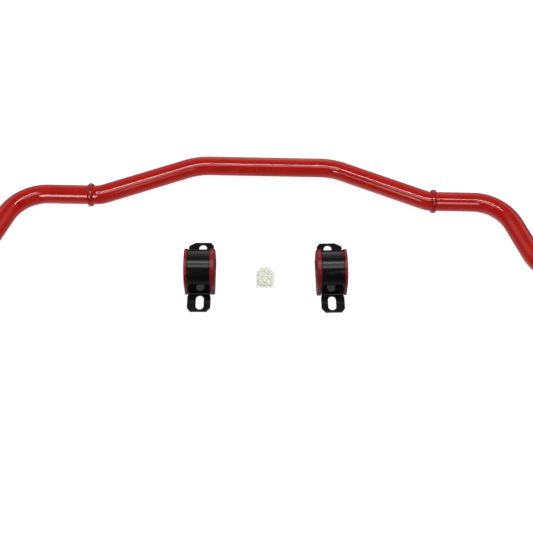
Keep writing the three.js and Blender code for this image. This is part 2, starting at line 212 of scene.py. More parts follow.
def bar_path():
    """Points and unit tangents along the centreline between the two straight arm ends."""
    corners = bar_corners()
    path = []
    for before, corner, after in zip(corners, corners[1:], corners[2:]):
        at = Vector(corner[:2])
        way_in = (at - Vector(before[:2])).normalized()
        way_out = (Vector(after[:2]) - at).normalized()
        turn = way_in.angle_signed(way_out)
        radius = corner[2]
        start = at - way_in * radius * math.tan(abs(turn) / 2)
        # angle_signed is clockwise-positive, so the bend's centre is on the right for turn > 0.
        side = Vector((way_in.y, -way_in.x)) * math.copysign(1, turn)
        centre = start + side * radius
        if path:
            last, tangent = path[-1]
            steps = max(int((start - last).length / 7), 1)
            path += [(last.lerp(start, i / steps), tangent.copy()) for i in range(1, steps)]
        steps = max(int(math.degrees(abs(turn)) / 2), 4)
        for i in range(steps + 1):
            angle = abs(turn) * i / steps
            point = centre - side * radius * math.cos(angle) + way_in * radius * math.sin(angle)
            tangent = way_in * math.cos(angle) + side * math.sin(angle)
            path.append((point, tangent))
    return path


def rounded_section(half_width, half_height, radius, per_corner=16):
    """Section points (lateral, height), corner by corner, starting on the +lateral, +height one."""
    points = []
    for quarter in range(4):
        cx = (half_width - radius) * (1 if quarter in (0, 3) else -1)
        cz = (half_height - radius) * (1 if quarter in (0, 1) else -1)
        for k in range(per_corner):
            angle = math.pi / 2 * (quarter + (k + 0.5) / per_corner)
            points.append((cx + radius * math.cos(angle), cz + radius * math.sin(angle)))
    return points


def forged_section(from_tip):
    """The bar's section at a distance from the tip: a flat with rounded edges that grows round."""
    ramp = smoothstep(from_tip, FLAT_LENGTH, FLAT_LENGTH + FLAT_RAMP)
    half_width = lerp(FLAT_HALF_WIDTH, BAR_RADIUS, ramp)
    half_height = lerp(FLAT_HALF_THICKNESS, BAR_RADIUS, ramp)
    return rounded_section(half_width, half_height, lerp(3.0, BAR_RADIUS, ramp ** 0.8))


def place_section(section, point, tangent):
    """Section points in space. Lateral is to the left of the tangent."""
    across = Vector((-tangent.y, tangent.x, 0))
    middle = Vector((point.x, point.y, BAR_Z))
    return [middle + across * u + Vector((0, 0, v)) for u, v in section]


def close_tip(bm, ring, point, tangent):
    """Closes the flat's end: its section's sides, turned half round the middle of the end."""
    quarter = len(ring) // 4
    middle = Vector((point.x, point.y, 0))
    pairs = [(k, 2 * quarter - 1 - k) for k in range(quarter)]
    pairs += [(4 * quarter - 1 - k, 2 * quarter + k) for k in range(quarter)]
    # Ordered from the middle of the top, over the edge, to the middle of the bottom.
    ordered = list(reversed(pairs[:quarter])) + pairs[quarter:]
    arcs = []
    steps = 24
    for right, left in ordered:
        start = ring[right].co
        offset = Vector((start.x, start.y, 0)) - middle
        arc = [ring[right]]
        for i in range(1, steps):
            turned = Matrix.Rotation(math.pi * i / steps, 3, "Z") @ offset
            arc.append(bm.verts.new(middle + turned + Vector((0, 0, start.z))))
        arc.append(ring[left])
        arcs.append(arc)
    bridge_all(bm, arcs, closed=False, capped=True)


def hole_cutter(x, y, bottom, top, radius, chamfer):
    """A drill with a countersink at both faces, which it overshoots."""
    bm = bmesh.new()
    over = 2
    profile = [
        (radius + chamfer + over, bottom - over), (radius, bottom + chamfer),
        (radius, top - chamfer), (radius + chamfer + over, top + over),
    ]
    turns = [2 * math.pi * i / 48 for i in range(48)]
    rings = []
    for r, z in profile:
        rings.append(add_ring(bm, [(x + r * math.cos(a), y + r * math.sin(a), z) for a in turns]))
    bridge_all(bm, rings, capped=True)
    return bm


def make_bar():
    """One solid bar: a forged flat at each end, swept to round, with two link holes in each flat."""
    bm = bmesh.new()
    corners = [Vector(corner[:2]) for corner in bar_corners()]
    tips = [(corners[0], corners[1]), (corners[-1], corners[-2])]
    end_rings = []
    for tip, knee in tips:
        inward = (knee - tip).normalized()
        # Sections every 4 mm along the flat, then every 2 mm up the ramp.
        distances = [FLAT_HALF_WIDTH + i * 4 for i in range(14)]
        distances += [FLAT_LENGTH + FLAT_RAMP * i / 18 for i in range(1, 19)]
        rings = []
        for distance in distances:
            section = forged_section(distance)
            rings.append(add_ring(bm, place_section(section, tip + inward * distance, inward)))
        bridge_all(bm, rings)
        close_tip(bm, rings[0], tip + inward * FLAT_HALF_WIDTH, inward)
        end_rings.append(rings[-1])
    round_section = rounded_section(BAR_RADIUS, BAR_RADIUS, BAR_RADIUS)
    rings = [add_ring(bm, place_section(round_section, p, t)) for p, t in bar_path()]
    # The right end's rings run the other way, so their points are matched by mirroring them.
    count = len(round_section)
    right_end = [end_rings[1][(count // 2 - 1 - i) % count] for i in range(count)]
    bridge_all(bm, [end_rings[0], *rings, right_end])
    bar = new_object("bar_powder_coated", bm)
    for tip, knee in tips:
        inward = (knee - tip).normalized()
        for distance in (OUTER_HOLE, OUTER_HOLE + HOLE_PITCH):
            at = tip + inward * distance
            low, high = BAR_Z - FLAT_HALF_THICKNESS, BAR_Z + FLAT_HALF_THICKNESS
            cut(bar, hole_cutter(at.x, at.y, low, high, LINK_HOLE_RADIUS, 0.8))
    bar.data.set_sharp_from_angle(angle=math.radians(32))
    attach(bar, "bar")
    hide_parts("sway_bar")
    return bar


# ---- collars -------------------------------------------------------------------------------------
def make_collar(side):
    """A crimped steel ring with a split, coated together with the bar."""
    low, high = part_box(f"{side}_collar")
    x_middle = (low.x + high.x) / 2 / MM
    half = COLLAR_WIDTH / 2
    # Half of the profile (distance from the ring's middle, radius): crown, rounded edge, side, foot
    # where the paint bridges to the bar.
    crown = [(0.0, COLLAR_RADIUS), (half * 0.35, COLLAR_RADIUS - 0.12)]
    edge = []
    for i in range(7):
        angle = math.radians(90 - 15 * i)
        edge.append((half - 2.2 + 2.2 * math.cos(angle), COLLAR_RADIUS - 2.6 + 2.3 * math.sin(angle)))
    foot = [(half + 0.01, 16.7), (half + 0.07, 16.3), (half + 0.25, 16.08), (half + 0.4, 15.9)]
    right = crown[1:] + edge + foot
    profile = [(-x, r) for x, r in reversed(right)] + [crown[0]] + right
    split_half = SPLIT_WIDTH / 2 / COLLAR_RADIUS
    steps = 120
    bm = bmesh.new()
    rings = []
    for i in range(steps + 1):
        angle = COLLAR_SPLIT + split_half + (2 * math.pi - 2 * split_half) * i / steps
        to_end = min(i, steps - i) / steps * 2 * math.pi * COLLAR_RADIUS
        pinch = CRIMP_DEPTH * math.exp(-((to_end - CRIMP_FROM_SPLIT) / CRIMP_SPREAD) ** 2)
        points = []
        for x, r in profile:
            bulge = max(r - CRIMP_INNER_RADIUS, 0) / (COLLAR_RADIUS - CRIMP_INNER_RADIUS)
            radius = r - pinch * bulge
            points.append((x_middle + x, BAR_Y + radius * math.cos(angle), BAR_Z + radius * math.sin(angle)))
        rings.append(add_ring(bm, points))
    bridge_all(bm, rings, capped=True)
    collar = new_object(f"{side}_collar_coated", bm, 50)
    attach(collar, "bar")
    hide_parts(f"{side}_collar")
    return collar


# ---- bushing and bracket units -------------------------------------------------------------------
def unit_matrix(side):
    """Where a unit stands, from its bushing's box, with its small turn."""
    turn = UNIT_TURN[side]
    low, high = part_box(f"{side}_bushing")
    half_difference = inboard_sign(side) * (FLANGE_INBOARD - FLANGE_OUTBOARD) / 2
    x = (low.x + high.x) / 2 / MM - half_difference * math.cos(turn)
    y = (low.y + high.y) / 2 / MM - half_difference * math.sin(turn)
    return Matrix.Translation((x, y, 0)) @ Matrix.Rotation(turn, 4, "Z")


def d_point(angle, radius, base):
    """Where a ray from the bore's axis meets a D outline with its base at height base."""
    direction = Vector((math.cos(angle), math.sin(angle)))
    centre = Vector((0, BORE_Z))
    best = 1e9
    if direction.y < -1e-9:
        best = min(best, (base - BORE_Z) / direction.y)
    if abs(direction.x) > 1e-9:
        side = radius / abs(direction.x)
        if BORE_Z + direction.y * side <= STRAP_CENTRE_Z:
            best = min(best, side)
    rise = centre - Vector((0, STRAP_CENTRE_Z))
    b = rise.dot(direction)
    c = rise.dot(rise) - radius * radius
    arch = -b + math.sqrt(b * b - c)
    if BORE_Z + direction.y * arch > STRAP_CENTRE_Z:
        best = min(best, arch)
    return centre + direction * best


def bushing_angles():
    """Ray angles round the bore, close together at the outline's two bottom corners."""
    slit_half = SLIT_WIDTH / 2 / BORE_RADIUS
    angles = [slit_half + (2 * math.pi - 2 * slit_half) * i / 150 for i in range(151)]
    for x in (-FLANGE_RADIUS, FLANGE_RADIUS):
        corner = math.atan2(-BORE_Z, x) % (2 * math.pi)
        nearest = min(range(len(angles)), key=lambda i: abs(angles[i] - corner))
        angles[nearest] = corner
    return sorted(angles)


def make_bushing(side):
    """Moulded D-bushing: two flanges, a core under the strap, a grooved bore and a slit."""
    reach = STRAP_HALF_WIDTH + CLEARANCE
    edge = 1.1
    # A flange's edge, as distance along the axis and drop. The wide, inboard one ends in a bevel.
    quarter = [(math.cos(math.radians(18 * i)), math.sin(math.radians(18 * i))) for i in range(6)]
    rounded = [(edge * (1 - c), edge * (1 - s)) for c, s in quarter]
    bevelled = [(0.0, 1.8), (0.2, 1.35), (1.2, 0.35), (1.6, 0.1), (2.2, 0.0)]
    flanges = [(FLANGE_OUTBOARD, rounded), (FLANGE_INBOARD, bevelled)]
    (left, left_edge), (right, right_edge) = flanges if side == "left" else reversed(flanges)
    x0, x1 = -reach - left, reach + right
    # Stations along the axis: x, outline radius, base height.
    outside = [(x0 + along, FLANGE_RADIUS - drop, min(drop, edge)) for along, drop in left_edge]
    outside += [(-reach - 0.5, FLANGE_RADIUS, 0.0), (-reach - 0.1, FLANGE_RADIUS - 0.4, 0.2)]
    outside += [(-reach, CORE_RADIUS + 0.4, 0.2), (-reach + 0.4, CORE_RADIUS, 0.0)]
    outside += [(reach - 0.4, CORE_RADIUS, 0.0), (reach, CORE_RADIUS + 0.4, 0.2)]
    outside += [(reach + 0.1, FLANGE_RADIUS - 0.4, 0.2), (reach + 0.5, FLANGE_RADIUS, 0.0)]
    outside += [(x1 - along, FLANGE_RADIUS - drop, min(drop, edge)) for along, drop in reversed(right_edge)]
    # Bore stations from the far end back: x, radius. Shallow grooves hold the grease.
    mouth = [(0.0, BORE_CHAMFER), (0.3, 0.3), (BORE_CHAMFER, 0.0)]
    bore = [(x1 - along, BORE_RADIUS + wider) for along, wider in mouth]
    for i in range(GREASE_GROOVES, 0, -1):
        x = lerp(x0, x1, i / (GREASE_GROOVES + 1))
        bore += [(x + 1.1, BORE_RADIUS), (x + 0.6, BORE_RADIUS + GROOVE_DEPTH)]
        bore += [(x - 0.6, BORE_RADIUS + GROOVE_DEPTH), (x - 1.1, BORE_RADIUS)]
    bore += [(x0 + along, BORE_RADIUS + wider) for along, wider in reversed(mouth)]
    bm = bmesh.new()
    columns = []
    for angle in bushing_angles():
        column = []
        for x, radius, base in outside:
            p = d_point(angle, radius, base)
            column.append(bm.verts.new((x, p.x, p.y)))
        for x, radius in bore:
            column.append(bm.verts.new((x, radius * math.cos(angle), BORE_Z + radius * math.sin(angle))))
        columns.append(column)
    bridge_all(bm, columns, capped=True)
    bmesh.ops.transform(bm, matrix=unit_matrix(side), verts=bm.verts)
    bushing = new_object(f"{side}_bushing_moulded", bm, 40)
    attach(bushing, f"{side}_bushing")
    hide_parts(f"{side}_bushing")
    return bushing


def press_bend(s, t):
    """Bends the flat blank: distance s from its middle and height t in it, to (y, z)."""
    side = math.copysign(1, s)
    s = abs(s)
    out = t - STRAP_THICKNESS / 2
    if s < ARCH_LENGTH:
        angle = s / ARCH_MIDLINE
        radius = ARCH_MIDLINE + out
        return side * radius * math.sin(angle), STRAP_CENTRE_Z + radius * math.cos(angle)
    if s < ARCH_LENGTH + WALL_LENGTH:
        return side * (ARCH_MIDLINE + out), STRAP_CENTRE_Z - (s - ARCH_LENGTH)
    if s < ARCH_LENGTH + WALL_LENGTH + FILLET_LENGTH:
        angle = (s - ARCH_LENGTH - WALL_LENGTH) / FILLET_MIDLINE
        radius = FILLET_MIDLINE - out
        y = STRAP_RADIUS + EAR_FILLET - radius * math.cos(angle)
        return side * y, STRAP_THICKNESS + EAR_FILLET - radius * math.sin(angle)
    return side * (STRAP_RADIUS + EAR_FILLET + s - ARCH_LENGTH - WALL_LENGTH - FILLET_LENGTH), t


def blank_position(y):
    """The distance along the blank of a place on an ear, y from the bracket's middle."""
    flat = abs(y) - STRAP_RADIUS - EAR_FILLET
    return math.copysign(ARCH_LENGTH + WALL_LENGTH + FILLET_LENGTH + flat, y)


def rounded_outline(corners, radius, steps=5):
    """A closed outline with its corners rounded."""
    points = []
    for i, corner in enumerate(corners):
        here = Vector(corner)
        before = (Vector(corners[i - 1]) - here).normalized()
        after = (Vector(corners[(i + 1) % len(corners)]) - here).normalized()
        angle = before.angle(after)
        if angle > math.radians(178):
            points.append(here)
            continue
        back = radius / math.tan(angle / 2)
        centre = here + (before + after).normalized() * radius / math.sin(angle / 2)
        start = here + before * back - centre
        end = here + after * back - centre
        turn = start.angle_signed(end)
        for k in range(steps + 1):
            a = -turn * k / steps
            c, s = math.cos(a), math.sin(a)
            points.append(centre + Vector((c * start.x - s * start.y, s * start.x + c * start.y)))
    return points


def slot_outline(x, s, steps=16):
    """A bolt slot's outline in the blank, its length along it, about (x, s)."""
    straight = (SLOT_LENGTH - SLOT_WIDTH) / 2
    radius = SLOT_WIDTH / 2
    points = []
    for end in (1, -1):
        for k in range(steps + 1):
            angle = math.pi * k / steps + (0 if end == 1 else math.pi)
            along = s + end * straight + radius * math.sin(angle)
            points.append(Vector((x + radius * math.cos(angle), along)))
    return points


def make_bracket(side):
    """A sheet blank with slots and cut corners, its edges rounded, pressed over the bushing."""
    front, rear = blank_position(-EAR_END), blank_position(EAR_END)
    step = blank_position(EAR_STEP)
    flared = blank_position(EAR_STEP + EAR_FLARE)
    half = STRAP_HALF_WIDTH
    # (across, along), the front ear first. Each flares out from the strap and ends in cut corners.
    corners = [
        (-half, -step), (-19.0, -flared), (-19.0, front + 7.0), (-14.0, front),
        (12.5, front), (19.0, front + 7.2), (19.0, -flared), (half, -step),
        (half, step), (21.5, flared), (21.5, rear - 6.3), (16.7, rear),
        (-8.5, rear), (-20.0, rear - 6.4), (-20.0, flared), (-half, step),
    ]
    outline = rounded_outline(corners, 1.5)
    slots = [(1.5, -SLOT_FROM_MIDDLE), (3.5, SLOT_FROM_MIDDLE)]
    holes = [slot_outline(x, blank_position(y)) for x, y in slots]
    bm = bmesh.new()
    edges = []
    for loop in [outline, *holes]:
        verts = [bm.verts.new((p.x * inboard_sign(side), p.y, 0)) for p in loop]
        edges += [bm.edges.new((verts[i], verts[(i + 1) % len(verts)])) for i in range(len(verts))]
    bmesh.ops.triangle_fill(bm, edges=edges, use_beauty=True, use_dissolve=False)
    extruded = bmesh.ops.extrude_face_region(bm, geom=bm.faces[:])
    top = [g for g in extruded["geom"] if isinstance(g, bmesh.types.BMVert)]
    bmesh.ops.translate(bm, vec=(0, 0, STRAP_THICKNESS), verts=top)
    bmesh.ops.recalc_face_normals(bm, faces=bm.faces)
    rims = [e for e in bm.edges if abs(e.verts[0].co.z - e.verts[1].co.z) < 1e-6
            and any(abs(f.normal.z) < 0.5 for f in e.link_faces)]
    bmesh.ops.bevel(bm, geom=rims, offset=0.75, segments=4, profile=0.5, affect="EDGES")
    # Cuts the blank into narrow strips where it will be bent: the arch, then the bends to the ears.
    fillet_start = ARCH_LENGTH + 22
    fillet_end = blank_position(STRAP_RADIUS + EAR_FILLET)
    bends = [(-ARCH_LENGTH, ARCH_LENGTH, 76)]
    bends += [(-fillet_end, -fillet_start, 12), (fillet_start, fillet_end, 12)]
    for start, end, count in bends:
        for i in range(count + 1):
            geom = bm.verts[:] + bm.edges[:] + bm.faces[:]
            at = (0, lerp(start, end, i / count), 0)
            bmesh.ops.bisect_plane(bm, geom=geom, plane_co=at, plane_no=(0, 1, 0))
    for vert in bm.verts:
        y, z = press_bend(vert.co.y, vert.co.z)
        vert.co = (vert.co.x, y, z)
    bmesh.ops.transform(bm, matrix=unit_matrix(side), verts=bm.verts)
    bracket = new_object(f"{side}_bracket_pressed", bm, 30)
    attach(bracket, f"{side}_bracket")
    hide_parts(f"{side}_bracket")
    return bracket


# ---- sachet --------------------------------------------------------------------------------------
def sachet_place():
    """The middle of the film's body, on the floor."""
    low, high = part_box("sachet_lower_film")
    x = (low.x + high.x) / 2 / MM
    return Vector((x, low.y / MM + FILM_HALF_DEPTH, 0))


def ripple(x, y, seed):
    """Smooth noise over the plane. Each seed is a pattern of its own."""
    return noise.noise(Vector((x, y, seed)))


def grease_height(x, y):
    """The grease's thickness: a squeezed blob with soft ridges that stays inside the sealed rim."""
    v = (y - GREASE_BACK) / GREASE_HALF_DEPTH
    wander = 0.9 * ripple(0.0, y * 0.16, 3.1) - 0.8
    width = GREASE_HALF_WIDTH * (0.95 - 0.22 * ripple(1.7, y * 0.2, 8.0))
    u = (x - wander) / width
    inside = 1 - (abs(u) ** 3 + abs(v) ** 4)
    sealed = smoothstep(edge_distance(x, y), 1.6, 4.5)
    if inside <= 0 or sealed <= 0:
        return 0.0
    ridges = 0.72 + 0.55 * ripple(x * 0.2, y * 0.3, 5.5)
    return 2.9 * inside ** 0.5 * ridges * sealed


def film_grid():
    """Rows of the film's outline: the body, then the narrowing tongue at the back."""
    step = 2 * FILM_HALF_WIDTH / FILM_COLUMNS
    skip = round((FILM_HALF_WIDTH - SHOULDER_HALF) / step)
    rows = []
    for j in range(BODY_ROWS + 1):
        y = lerp(-FILM_HALF_DEPTH, FILM_HALF_DEPTH, j / BODY_ROWS)
        rows.append({i: (-FILM_HALF_WIDTH + i * step, y) for i in range(FILM_COLUMNS + 1)})
    kept = range(skip, FILM_COLUMNS - skip + 1)
    for j in range(1, TONGUE_ROWS + 1):
        half = lerp(SHOULDER_HALF, TONGUE_HALF, j / TONGUE_ROWS)
        y = FILM_HALF_DEPTH + TONGUE * j / TONGUE_ROWS
        row = {i: (half * (-FILM_HALF_WIDTH + i * step) / (FILM_HALF_WIDTH - skip * step), y) for i in kept}
        rows.append(row)
    return rows


def edge_distance(x, y):
    """Roughly how far a point of the film is from its nearest edge."""
    front = y + FILM_HALF_DEPTH
    if y <= FILM_HALF_DEPTH:
        side = FILM_HALF_WIDTH - abs(x)
        back = FILM_HALF_DEPTH - y if abs(x) > SHOULDER_HALF else 99.0
        return min(front, side, back)
    half = lerp(SHOULDER_HALF, TONGUE_HALF, (y - FILM_HALF_DEPTH) / TONGUE)
    return min(half - abs(x), FILM_HALF_DEPTH + TONGUE - y)


def crinkle(x, y):
    """Sharp little folds of a thin film."""
    warp = ripple(x * 0.11, y * 0.11, 1.0) * 4
    folds = abs(ripple(x * 0.17 + warp * 0.12, y * 0.23 - warp * 0.1, 2.0))
    fine = abs(ripple(x * 0.45, y * 0.38, 7.0))
    return 1.1 * (0.5 - folds) + 0.35 * (0.5 - fine)


def film_height(x, y, upper):
    """The height of one film above the floor: the lower one nearly flat, the upper one over the grease."""
    rim = edge_distance(x, y)
    free = smoothstep(rim, 1.8, 5.5)
    curl = 0.35 * ripple(x * 0.13, y * 0.13, 11.0) + 0.3
    if not upper:
        return 0.12 + 0.25 * max(curl, 0) * free
    # The sealed rim is pressed flat with a fine cross pattern; inside it the film is free.
    seal = 0.05 * math.sin(x * 4.2) * math.sin(y * 4.2)
    around = ((0, 0), (1.2, 0), (-1.2, 0), (0, 1.2), (0, -1.2))
    pocket = max(grease_height(x + dx, y + dy) for dx, dy in around)
    loose = 0.9 + pocket + crinkle(x, y)
    above_grease = 0.75 + max(grease_height(x + dx * 0.3, y + dy * 0.3) for dx, dy in around)
    return max(lerp(0.55 + seal, loose, free), lerp(0.55, above_grease, min(pocket * 4, 1)))


def make_film(name, node, upper):
    """One film, 0.12 mm thick, with a slightly wandering outline."""
    place = sachet_place()
    bm = bmesh.new()
    rows = []
    for row in film_grid():
        made = {}
        for i, (x, y) in row.items():
            dx = 0.35 * ripple(x * 0.2, y * 0.2, 21.0)
            dy = 0.35 * ripple(x * 0.2, y * 0.2, 31.0)
            z = film_height(x, y, upper)
            made[i] = bm.verts.new((place.x + x + dx, place.y + y + dy, z))
        rows.append(made)
    for row_a, row_b in zip(rows, rows[1:]):
        for i in row_b:
            if i + 1 in row_b and i in row_a and i + 1 in row_a:
                bm.faces.new((row_a[i], row_a[i + 1], row_b[i + 1], row_b[i]))
    film = new_object(name, bm, 60)
    solidify = film.modifiers.new("thickness", "SOLIDIFY")
    solidify.thickness = 0.00012
    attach(film, "sachet")
    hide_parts(node)
    return film


def make_grease():
    """Grid cells where there is grease, with a flat underside."""
    place = sachet_place()
    cell = GREASE_CELL
    bm = bmesh.new()
    tops, bases = {}, {}

    def corner(i, j):
        if (i, j) not in tops:
            x, y = i * cell, j * cell
            height = grease_height(x, y)
            at = place + Vector((x, y, 0.5))
            tops[i, j] = bm.verts.new(at + Vector((0, 0, height)))
            bases[i, j] = bm.verts.new(at - Vector((0, 0, 0.06)))
        return tops[i, j], bases[i, j]

    reach = int((FILM_HALF_DEPTH + TONGUE) / cell)
    filled = set()
    for i in range(-reach, reach):
        for j in range(-reach, reach):
            if grease_height((i + 0.5) * cell, (j + 0.5) * cell) > 0.12:
                filled.add((i, j))
    for i, j in sorted(filled):
        ring = [(i, j), (i + 1, j), (i + 1, j + 1), (i, j + 1)]
        pairs = [corner(*key) for key in ring]
        bm.faces.new([top for top, base in pairs])
        bm.faces.new([base for top, base in reversed(pairs)])
        sides = [(i, j - 1), (i + 1, j), (i, j + 1), (i - 1, j)]
        for k, neighbour in enumerate(sides):
            if neighbour not in filled:
                (top_a, base_a), (top_b, base_b) = pairs[k], pairs[(k + 1) % 4]
                bm.faces.new((top_b, top_a, base_a, base_b))
    # Rounds the blob's stepped rim.
    for _ in range(3):
        bmesh.ops.smooth_vert(bm, verts=bm.verts[:], factor=0.5, use_axis_x=True, use_axis_y=True)
    grease = new_object("sachet_grease_blob", bm, 180)
    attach(grease, "sachet")
    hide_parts("sachet_grease")
    return grease


# ---- materials -----------------------------------------------------------------------------------
class Surface:
    """A Principled material with helpers for procedural detail in object space.

    The colour and roughness given first are its mean ones, which a viewer without nodes shows.
    """

    def __init__(self, name, colour, roughness):
        self.material = bpy.data.materials.new(name)
        self.material.use_nodes = True
        self.nodes = self.material.node_tree.nodes
        self.links = self.material.node_tree.links
        self.shader = self.nodes["Principled BSDF"]
        self.shader.inputs["Base Color"].default_value = (*colour, 1)
        self.shader.inputs["Roughness"].default_value = roughness
        self.place = self.nodes.new("ShaderNodeTexCoord")
        self.normal = None

    def set(self, **values):
        """Sets the shader's sockets: coat_weight is Coat Weight."""
        for name, value in values.items():
            self.shader.inputs[name.replace("_", " ").title().replace("Ior", "IOR")].default_value = value

    def noise(self, scale, detail=2.0, roughness=0.5):
        node = self.nodes.new("ShaderNodeTexNoise")
        node.inputs["Scale"].default_value = scale
        node.inputs["Detail"].default_value = detail
        node.inputs["Roughness"].default_value = roughness
        self.links.new(self.place.outputs["Object"], node.inputs["Vector"])
        return node.outputs["Fac"]

    def ramp(self, source, stops):
        node = self.nodes.new("ShaderNodeValToRGB")
        elements = node.color_ramp.elements
        elements[0].position, elements[0].color = stops[0][0], (*stops[0][1], 1)
        elements[1].position, elements[1].color = stops[-1][0], (*stops[-1][1], 1)
        for position, colour in stops[1:-1]:
            elements.new(position).color = (*colour, 1)
        self.links.new(source, node.inputs["Fac"])
        return node.outputs["Color"]

    def paint(self, source, stops):
        self.links.new(self.ramp(source, stops), self.shader.inputs["Base Color"])

    def vary_roughness(self, source, low, high):
        node = self.nodes.new("ShaderNodeMapRange")
        node.inputs["To Min"].default_value = low
        node.inputs["To Max"].default_value = high
        self.links.new(source, node.inputs["Value"])
        self.links.new(node.outputs["Result"], self.shader.inputs["Roughness"])

    def bump(self, source, strength, distance):
        node = self.nodes.new("ShaderNodeBump")
        node.inputs["Strength"].default_value = strength
        node.inputs["Distance"].default_value = distance
        self.links.new(source, node.inputs["Height"])
        if self.normal:
            self.links.new(self.normal, node.inputs["Normal"])
        self.normal = node.outputs["Normal"]
        self.links.new(self.normal, self.shader.inputs["Normal"])

    def bump_coat(self):
        """Gives the clear coat the same bumps."""
        self.links.new(self.normal, self.shader.inputs["Coat Normal"])


def red_paint(name, tone):
    """Glossy red powder coat: a dull red under a clear gloss, with a slight orange peel."""
    surface = Surface(name, (0.40, 0.0055, 0.0019), 0.42)
    # tone darkens the whole coat; a tone below 1 is painted shade.
    dark = (0.375 * tone, 0.0048 * tone, 0.0015 * tone)
    light = (0.425 * tone, 0.0064 * tone, 0.0024 * tone)
    surface.paint(surface.noise(35, 3), [(0.35, dark), (0.65, light)])
    surface.vary_roughness(surface.noise(60, 2), 0.38, 0.46)
    surface.bump(surface.noise(420, 1.5), 0.05, 0.00010)
    surface.bump(surface.noise(70, 1.0), 0.02, 0.0003)
    surface.bump_coat()
    surface.set(coat_weight=1.0, coat_roughness=0.02, coat_ior=1.5, specular_ior_level=0.08)
    return surface.material


def black_paint():
    """Satin black coat, slightly rippled."""
    surface = Surface("bracket_black_coat", (0.0045, 0.0045, 0.005), 0.13)
    surface.paint(surface.noise(50, 2), [(0.3, (0.0036, 0.0036, 0.0040)), (0.7, (0.0054, 0.0054, 0.0058))])
    surface.vary_roughness(surface.noise(90, 3), 0.10, 0.16)
    surface.bump(surface.noise(380, 2), 0.12, 0.00012)
    surface.bump(surface.noise(60, 1), 0.08, 0.0003)
    surface.set(ior=1.5, specular_ior_level=0.36)
    return surface.material


def polyurethane():
    """Moulded dark red polyurethane, mottled, with a soft sheen."""
    surface = Surface("bushing_red_polyurethane", (0.17, 0.005, 0.006), 0.24)
    stops = [(0.3, (0.145, 0.0042, 0.0050)), (0.6, (0.175, 0.0050, 0.0062)), (0.8, (0.21, 0.007, 0.008))]
    surface.paint(surface.noise(90, 4, 0.6), stops)
    surface.vary_roughness(surface.noise(150, 3), 0.24, 0.32)
    surface.set(specular_ior_level=0.36)
    surface.bump(surface.noise(900, 3), 0.08, 0.00006)
    surface.bump(surface.noise(120, 2), 0.06, 0.0002)
    return surface.material


def clear_film():
    """Thin clear plastic film, a little cloudy."""
    surface = Surface("sachet_clear_film", (0.81, 0.82, 0.79), 0.30)
    surface.paint(surface.noise(400, 3), [(0.3, (0.77, 0.78, 0.75)), (0.7, (0.85, 0.86, 0.83))])
    surface.bump(surface.noise(700, 2), 0.08, 0.0001)
    surface.set(alpha=0.35, ior=1.5)
    return surface.material


def bushing_grease():
    """Pale green grease, seen wet through the film."""
    surface = Surface("grease_pale_green", (0.66, 0.70, 0.46), 0.2)
    stops = [(0.3, (0.62, 0.67, 0.42)), (0.5, (0.70, 0.75, 0.50)), (0.7, (0.79, 0.83, 0.60))]
    surface.paint(surface.noise(180, 2), stops)
    surface.bump(surface.noise(350, 2), 0.12, 0.0002)
    surface.set(subsurface_weight=0.25, subsurface_scale=0.002, coat_weight=0.3, coat_roughness=0.25)
    return surface.material


def dress(obj, material, group):
    """Gives a piece its material and puts it under one of the two sets of lights."""
    group.objects.link(obj)
    obj.data.materials.clear()
    obj.data.materials.append(material)
    for polygon in obj.data.polygons:
        polygon.material_index = 0
    weighted = obj.modifiers.new("even_normals", "WEIGHTED_NORMAL")
    weighted.keep_sharp = True


# The collars get the bar's coat darkened: painted shade for the narrow rings, which are coated with the bar.
bar_coat = red_paint("bar_red_coat", 1.0)
shaded_collar_coat = red_paint("collar_red_coat_shaded", 0.72)
black = black_paint()
urethane = polyurethane()
film_look = clear_film()
bar_pieces = bpy.data.collections.new("bar_pieces")
kit_pieces = bpy.data.collections.new("kit_pieces")
dress(make_bar(), bar_coat, bar_pieces)
for side in ("left", "right"):
    dress(make_collar(side), shaded_collar_coat, bar_pieces)
    dress(make_bushing(side), urethane, kit_pieces)
    dress(make_bracket(side), black, kit_pieces)
dress(make_film("sachet_film_lower", "sachet_lower_film", False), film_look, kit_pieces)
dress(make_film("sachet_film_upper", "sachet_upper_film", True), film_look, kit_pieces)
dress(make_grease(), bushing_grease(), kit_pieces)


# ---- studio --------------------------------------------------------------------------------------
# In metres here. FLOOR_DROP keeps the floor clear of what lies on it.
FLOOR_DROP = 0.0002
FLOOR_HALF = 10.0
BAR_AXIS = Vector((0, BAR_Y * MM, 0))


def make_floor():
    """A white floor, far wider than the view."""
    bm = bmesh.new()
    half, drop = FLOOR_HALF / MM, FLOOR_DROP / MM
    corners = ((-half, -half), (half, -half), (half, half), (-half, half))
    bm.faces.new(add_ring(bm, [(x, y, -drop) for x, y in corners]))
    floor = new_object("studio_floor", bm)
    surface = Surface("studio_white", (0.20, 0.20, 0.20), 0.9)
    surface.set(specular_ior_level=0.0, emission_color=(1, 1, 1, 1), emission_strength=0.92)
    floor.data.materials.append(surface.material)
    # The gloss of the coats shows the darker surroundings, as round a lit table, not this floor.
    floor.visible_glossy = False
    bar_pieces.objects.link(floor)


